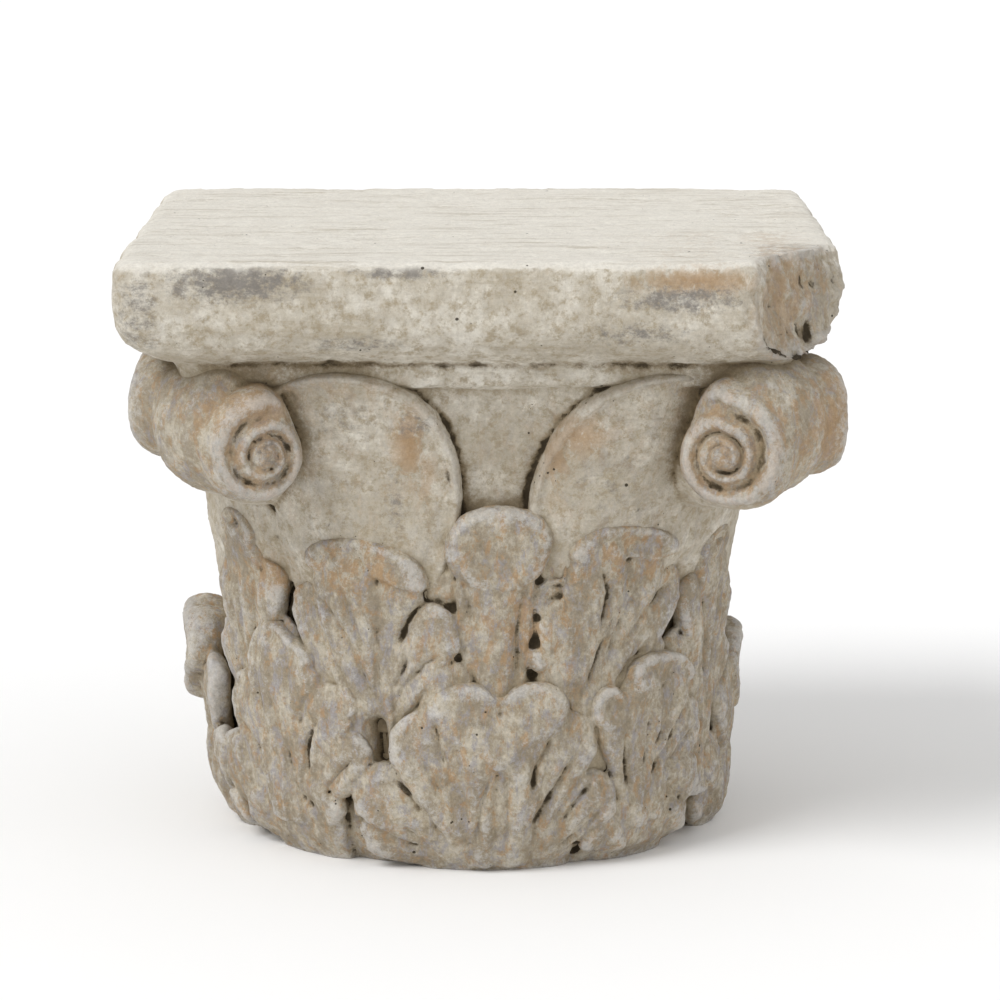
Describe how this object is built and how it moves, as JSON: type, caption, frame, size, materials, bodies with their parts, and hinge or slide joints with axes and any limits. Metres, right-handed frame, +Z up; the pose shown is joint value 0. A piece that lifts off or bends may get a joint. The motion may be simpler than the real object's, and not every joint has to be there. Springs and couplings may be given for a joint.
{
  "type": "corinthian capital",
  "caption": "Weathered cast-stone Corinthian capital: square abacus with one broken corner, corner volutes and two rows of acanthus leaves.",
  "frame": {"origin": "middle of the flat underside, below the middle of the abacus", "axes": "+Z up through the top bed; -Y is the front, +X to the right of someone facing it"},
  "size_m": [0.3639, 0.3639, 0.315],
  "materials": {
    "cast_stone": "matt, pitted, limewashed cream with brown dirt in the hollows and grey and ochre wear on the high parts"
  },
  "bodies": {
    "root": {"capital": "cast_stone"}
  },
  "joints": []
}
